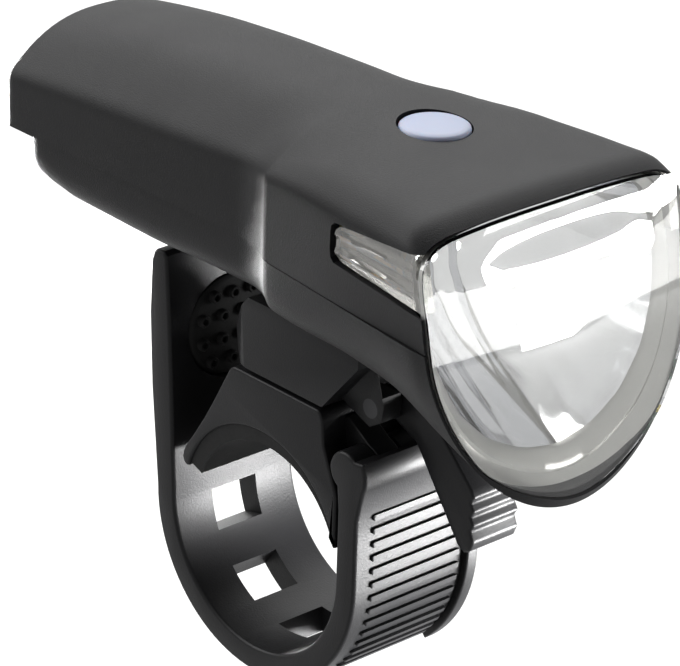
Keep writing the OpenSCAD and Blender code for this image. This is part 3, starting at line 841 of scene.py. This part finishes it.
skirt = arc(HINGE, SKIRT_R, range(145, 206, 6))
knuckle = arc(HINGE, HINGE_R, range(-60, 136, 10))
tail_out = [(TAIL_OUT + 0.5, 5), (TAIL_OUT + 1.6, 16), (TAIL_OUT + 2.2, 28), (TAIL_OUT + 1.9, TAIL_TOP - 2),
            (TAIL_OUT + 1.3, TAIL_TOP - 0.5), (TAIL_OUT + 0.4, TAIL_TOP)]
tail_in = [(TAIL_OUT - 1.0, TAIL_TOP), (TAIL_OUT - 1.8, TAIL_TOP - 0.6), (TAIL_IN + 1.6, 28),
           (TAIL_IN + 0.9, 16), (TAIL_IN + 0.3, 5)]
front_out = [(FRONT_OUT, z) for z in (11.5, 8, 4)]
front_in = [(FRONT_IN, z) for z in (4, 8, 12)]
ring_out = arc(RING_MIDDLE, RING_OUT, range(180, 361, 4))
ring_in = arc(RING_MIDDLE, RING_IN, range(360, 179, -4))
strap_outline = skirt + front_out + ring_out + tail_out + tail_in + ring_in + front_in + knuckle
print("points in the strap's outline:", len(strap_outline))

# %% Strap with its slots
SLOT_ANGLES, SLOT_HALF, SLOT_BAND = (-16, -55, -94), 3.3, 4.4
EAR_ROOM_R = 3.6
PAD_Z, PAD_SEAT_R = 24.5, 8.4

strap = rounded_extrusion("loop_strap", strap_outline, -BAND, BAND, 0.6)
for angle in SLOT_ANGLES:
    c, s = math.cos(math.radians(angle)), math.sin(math.radians(angle))
    corners = ((RING_IN - 2, -SLOT_HALF), (RING_OUT + 2, -SLOT_HALF), (RING_OUT + 2, SLOT_HALF),
               (RING_IN - 2, SLOT_HALF))
    box = [(RING_Y + r * c - t * s, r * s + t * c) for r, t in corners]
    cut(strap, prism("slot", box, -SLOT_BAND, SLOT_BAND, "x"))
for x0, x1 in ((-8.0, -3.0), (3.0, 8.0)):
    cut(strap, prism("ear_room", circle(HINGE, EAR_ROOM_R, 32), x0, x1, "x"))
pad_hole = circle((0.0, PAD_Z), PAD_SEAT_R, 48)
cut(strap, prism("pad_seat", pad_hole, TAIL_IN - 3, TAIL_IN + 2.6, "y"))
finish_piece(strap, bracket_abs, "strap_body", ["strap"], 30)

# %% [markdown]
# The grip ribs on the front of the strap repeat along its curve, and the studs of the thumb pad on a set of
# points. That is work for Geometry Nodes: the tree takes a unit shape and sets it at each point. Where it
# gets a count, it first spreads that many points along the path and turns each unit with it.

# %% Tree that repeats a unit


def repeat_tree(name, unit, material, count=0):
    tree = bpy.data.node_groups.new(name, "GeometryNodeTree")
    values = {}
    tree.interface.new_socket("Geometry", in_out="INPUT", socket_type="NodeSocketGeometry")
    sizes_in = (("Unit", "Object", unit), ("Count", "Int", count), ("Finish", "Material", material))
    for label, kind, value in sizes_in:
        socket = tree.interface.new_socket(label, in_out="INPUT", socket_type="NodeSocket" + kind)
        values[socket.identifier] = value
    tree.interface.new_socket("Geometry", in_out="OUTPUT", socket_type="NodeSocketGeometry")
    given = add(tree, "NodeGroupInput")
    shape = add(tree, "GeometryNodeObjectInfo", {"Object": given.outputs["Unit"]})
    placing = {"Points": given.outputs["Geometry"], "Instance": shape.outputs["Geometry"]}
    if count:
        curve = add(tree, "GeometryNodeMeshToCurve", {"Mesh": given.outputs["Geometry"]})
        sampled = add(tree, "GeometryNodeResampleCurve", {"Curve": curve.outputs["Curve"],
                                                          "Count": given.outputs["Count"]})
        tangent = add(tree, "GeometryNodeInputTangent")
        aligned = add(tree, "FunctionNodeAlignRotationToVector", {"Vector": tangent.outputs["Tangent"]},
                      axis="Y")
        placing.update({"Points": sampled.outputs["Curve"], "Rotation": aligned.outputs["Rotation"]})
    placed = add(tree, "GeometryNodeInstanceOnPoints", placing)
    real = add(tree, "GeometryNodeRealizeInstances", {"Geometry": placed.outputs["Instances"]})
    dressed = add(tree, "GeometryNodeSetMaterial", {"Geometry": real.outputs["Geometry"],
                                                    "Material": given.outputs["Finish"]})
    add(tree, "NodeGroupOutput", {"Geometry": dressed.outputs["Geometry"]})
    return tree, values


def grow(name, path_mm, unit, material, count=0):
    # Repeats the unit on a path and leaves one plain mesh
    tree, values = repeat_tree(name, unit, material, count)
    piece = mesh_object(name, path_mm, [], [(i, i + 1) for i in range(len(path_mm) - 1)])
    repeat = piece.modifiers.new(name, "NODES")
    repeat.node_group = tree
    for identifier, value in values.items():
        repeat[identifier] = value
    settle(piece)
    bpy.data.objects.remove(unit)
    return piece


# %% Grip ribs
RIB_COUNT, RIB_HALF, RIB_EDGE = 14, 9.0, 0.4
RIB_SECTION = [(-0.45, -0.5), (-0.42, 0.25), (-0.3, 0.48), (0.0, 0.56), (0.3, 0.48), (0.42, 0.25),
               (0.45, -0.5)]

rib_unit = rounded_extrusion("rib_unit", RIB_SECTION, -RIB_HALF, RIB_HALF, RIB_EDGE)
rib_path = [(0.0, y, z) for y, z in front_out + arc(RING_MIDDLE, RING_OUT, range(180, 228, 4))]
ribs = grow("grip_ribs", rib_path, rib_unit, bracket_abs, RIB_COUNT)
finish_piece(ribs, bracket_abs, "strap_body", [], 40)

# %% [markdown]
# A raised edge closes the ribs on the far side of the strap. It is a thin extrusion of the same arc.

# %% Raised edge at the far end of the ribs
EDGE_HIGH, EDGE_SUNK, EDGE_WIDE = 1.2, 1.0, 2.2
raised = [(FRONT_OUT + 1, 10.0), (FRONT_OUT, 10.0)]
raised += arc(RING_MIDDLE, RING_OUT + EDGE_HIGH, range(176, 231, 3))
raised += arc(RING_MIDDLE, RING_OUT - EDGE_SUNK, range(230, 175, -3))
far_edge = rounded_extrusion("far_edge", raised, BAND - EDGE_WIDE, BAND, 0.35)
finish_piece(far_edge, bracket_abs, "strap_body", ["strap"], 40)

# %% [markdown]
# The saddle rests on the bar with a round seat and carries the shoe on its flat top. Two ears in front hold
# the strap's hinge pin. The seat is part of the outline, so the bore needs no boolean.

# %% Saddle
SEAT_R, SEAT_MIDDLE = 17.3, (1.126, 0.65)
SADDLE_BODY = [(18.5, 5.8), (19.2, 7.0), (18.7, 8.7), (16.6, 11.7), (14.3, 15.2), (12.2, 18.8), (10.3, 22.3),
               (8.5, 25.6), (7.6, 26.2), (-11.4, 26.2), (-12.2, 25.0), (-12.6, 21.0), (FRONT_IN + 0.4, 14.0),
               (FRONT_IN + 0.4, 6.6)]
EAR_FOOT = [(FRONT_IN + 0.7, HINGE_Z - 2.5), (FRONT_IN + 0.5, 13.6), (-12.0, 14.0), (-11.5, 24.0),
            (-13.0, 24.6)]

saddle_outline = round_corners(SADDLE_BODY, 0.6) + arc(SEAT_MIDDLE, SEAT_R, np.linspace(163.0, 18.0, 45))
saddle = rounded_extrusion("bar_saddle", saddle_outline, -BAND, BAND, 0.4)
finish_piece(saddle, bracket_abs, "saddle_body", ["saddle"], 30)
ear_outline = arc(HINGE, HINGE_R, range(100, 306, 10)) + EAR_FOOT
for x0, x1, label in ((-7.6, -3.4, "near"), (3.4, 7.6, "far")):
    ear = rounded_extrusion("hinge_ear_" + label, ear_outline, x0, x1, 0.3)
    finish_piece(ear, bracket_abs, "saddle_body", ["saddle"], 30)

# %% [markdown]
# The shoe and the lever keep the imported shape. A copy of each is welded and its edges are bevelled,
# because light catches the small rounded edges of real mouldings.

# %% Shoe and lever with rounded edges
WELD = 2e-6
SHARP_DEG, SHORTEST_MM = 30, 1.2


def is_sharp(edge):
    return (len(edge.link_faces) == 2 and edge.calc_face_angle() > math.radians(SHARP_DEG)
            and edge.calc_length() > SHORTEST_MM * MM)


def bevelled_copy(node, name, width_mm, material, body):
    mesh = nodes[node].data.copy()
    mesh.name = name
    piece = bpy.data.objects.new(name, mesh)
    scene.collection.objects.link(piece)
    bm = bmesh.new()
    bm.from_mesh(mesh)
    bmesh.ops.remove_doubles(bm, verts=bm.verts, dist=WELD)
    bmesh.ops.dissolve_limit(bm, angle_limit=math.radians(0.5), verts=bm.verts, edges=bm.edges)
    sharp = [e for e in bm.edges if is_sharp(e)]
    bmesh.ops.bevel(bm, geom=sharp, offset=width_mm * MM, segments=2, profile=0.6, affect="EDGES",
                    clamp_overlap=True)
    bm.to_mesh(mesh)
    bm.free()
    return finish_piece(piece, material, body, [node], 40)


bevelled_copy("shoe", "bracket_shoe", 0.45, bracket_abs, "shoe_body")
bevelled_copy("release_lever", "thumb_lever", 0.4, bracket_abs, "lever_body")

# %% [markdown]
# ## The grip pad
# A round rubber pad with short hollow studs gives the thumb a hold on the strap's tail.
# Both are turned from profiles. The studs sit on a list of points, and the tree above places them all.

# %% Pad and studs
PAD_Y = TAIL_IN + 1.2
PAD_PROFILE = [(0.0, 0.0), (7.4, 0.0), (7.95, 0.15), (8.25, 0.5), (8.25, 1.3), (0.0, 1.3)]
PAD_TURNS, STUD_TURNS = 48, 16
STUD_PROFILE = [(1.0, 0.3), (1.0, -0.75), (0.85, -0.95), (0.6, -0.95), (0.5, -0.8), (0.5, -0.35),
                (0.0, -0.35)]
STUD_ROWS = [(5.6, (-3.6, 0.0, 3.6)), (2.2, (-5.8, -2.0, 2.0, 5.8)), (-1.7, (-5.8, -2.0, 2.0, 5.8)),
             (-5.2, (-4.0, 0.0, 4.0))]

verts = turned(PAD_PROFILE, PAD_TURNS, (0.0, PAD_Y, PAD_Z))
pad_faces = grid_faces(len(PAD_PROFILE), PAD_TURNS, 0, True)
make_piece("thumb_pad", verts, pad_faces, soft_rubber, "strap_body", ["grip_pad"], 40)
stud_faces = grid_faces(len(STUD_PROFILE), STUD_TURNS, 0, True)
stud_unit = mesh_object("stud_unit", turned(STUD_PROFILE, STUD_TURNS), stud_faces)
stud_points = [(x, PAD_Y, PAD_Z + z) for z, xs in STUD_ROWS for x in xs]
studs = grow("pad_studs", stud_points, stud_unit, soft_rubber)
finish_piece(studs, soft_rubber, "strap_body", ["grip_pad"], 40)

# %% [markdown]
# ## Floor and backdrop
# The lamp hangs over a plain pale floor, which takes its shadow. Floor and world show as white to the camera
# and in mirror and lens, and both light the lamp only weakly. Light Path tells these rays apart.

# %% Floor
FLOOR_Z, FLOOR_HALF = -0.075, 4
PAPER_SHINE = 0.8


def background_ray(tree):
    # One for a ray from the camera, from a mirror or through the lens, and nought for any other
    ray = add(tree, "ShaderNodeLightPath")
    seen = ray.outputs["Is Camera Ray"]
    for kind in ("Is Glossy Ray", "Is Transmission Ray"):
        seen = add(tree, "ShaderNodeMath", {0: seen, 1: ray.outputs[kind]}, operation="MAXIMUM").outputs[0]
    return seen


floor_corners = [(x * FLOOR_HALF, y * FLOOR_HALF, FLOOR_Z) for x, y in ((-1, -1), (1, -1), (1, 1), (-1, 1))]
floor_mesh = bpy.data.meshes.new("floor")
floor_mesh.from_pydata(floor_corners, [], [(0, 1, 2, 3)])
floor = bpy.data.objects.new("floor", floor_mesh)
scene.collection.objects.link(floor)
# Matt white paper
paper = bpy.data.materials.new("white_paper")
paper.use_nodes = True
tree = paper.node_tree
shader = tree.nodes["Principled BSDF"]
shader.inputs["Base Color"].default_value = to_linear("#E8E8E8")
shader.inputs["Roughness"].default_value = 0.9
share = add(tree, "ShaderNodeMath", {0: background_ray(tree), 1: PAPER_SHINE}, operation="MULTIPLY")
glow = add(tree, "ShaderNodeEmission", {"Color": to_linear("#FFFFFF"), "Strength": 1.0})
both = add(tree, "ShaderNodeMixShader", {0: share.outputs[0], 1: shader.outputs[0], 2: glow.outputs[0]})
tree.links.new(both.outputs[0], tree.nodes["Material Output"].inputs["Surface"])
floor_mesh.materials.append(paper)
print("floor placed")

# %% World
SKY_LIGHT, SKY_SEEN = 0.2, 1.0
world = bpy.data.worlds.new("studio")
world.use_nodes = True
tree = world.node_tree
sky = tree.nodes["Background"]
sky.inputs["Color"].default_value = to_linear("#FFFFFF")
level = add(tree, "ShaderNodeMapRange", {"Value": background_ray(tree), "To Min": SKY_LIGHT,
                                         "To Max": SKY_SEEN})
tree.links.new(level.outputs["Result"], sky.inputs["Strength"])
scene.world = world
scene.view_settings.view_transform = "Standard"
print("world light", SKY_LIGHT)

# %% [markdown]
# ## Lights
# A large soft light from above gives the hood its even grey sheen, and one behind the shoulder draws its near
# edge. A strip in front puts a streak on the lens, and a small light behind the bar sweeps over the lower
# edges from behind. A low light near the ribs shows their relief. It is linked to the strap and the lever
# alone, because the lens would mirror it.

# %% Lights


def soft_light(name, at, aim, width, height, watts):
    data = bpy.data.lights.new(name, "AREA")
    data.shape = "RECTANGLE"
    data.size, data.size_y, data.energy = width, height, watts
    lamp = bpy.data.objects.new(name, data)
    lamp.location = at
    lamp.visible_camera = False
    lamp.rotation_euler = (Vector(aim) - Vector(at)).to_track_quat("-Z", "Y").to_euler()
    scene.collection.objects.link(lamp)
    return lamp


soft_light("top_light", (0.5, 0.5, 1.0), (0, 0, 0.05), 1.6, 1.1, 31.0)
soft_light("shoulder_light", (-0.55, 0.85, 0.7), (0, 0, 0.06), 1.0, 0.6, 17.0)
soft_light("front_light", (0.72, -0.7, -0.01), (0, 0, 0.01), 0.45, 0.12, 7.0)
soft_light("sweep_light", (0.07, 0.30, -0.04), (-0.017, -0.005, 0.05), 0.16, 0.07, 3.2)
rib_light = soft_light("rib_light", (0.12, -0.16, -0.058), (0, -0.02, 0.008), 0.14, 0.03, 4.5)
bracket_front = bpy.data.collections.new("bracket_front")
for name in ("grip_ribs", "far_edge", "loop_strap", "thumb_lever"):
    bracket_front.objects.link(bpy.data.objects[name])
rib_light.light_linking.receiver_collection = bracket_front
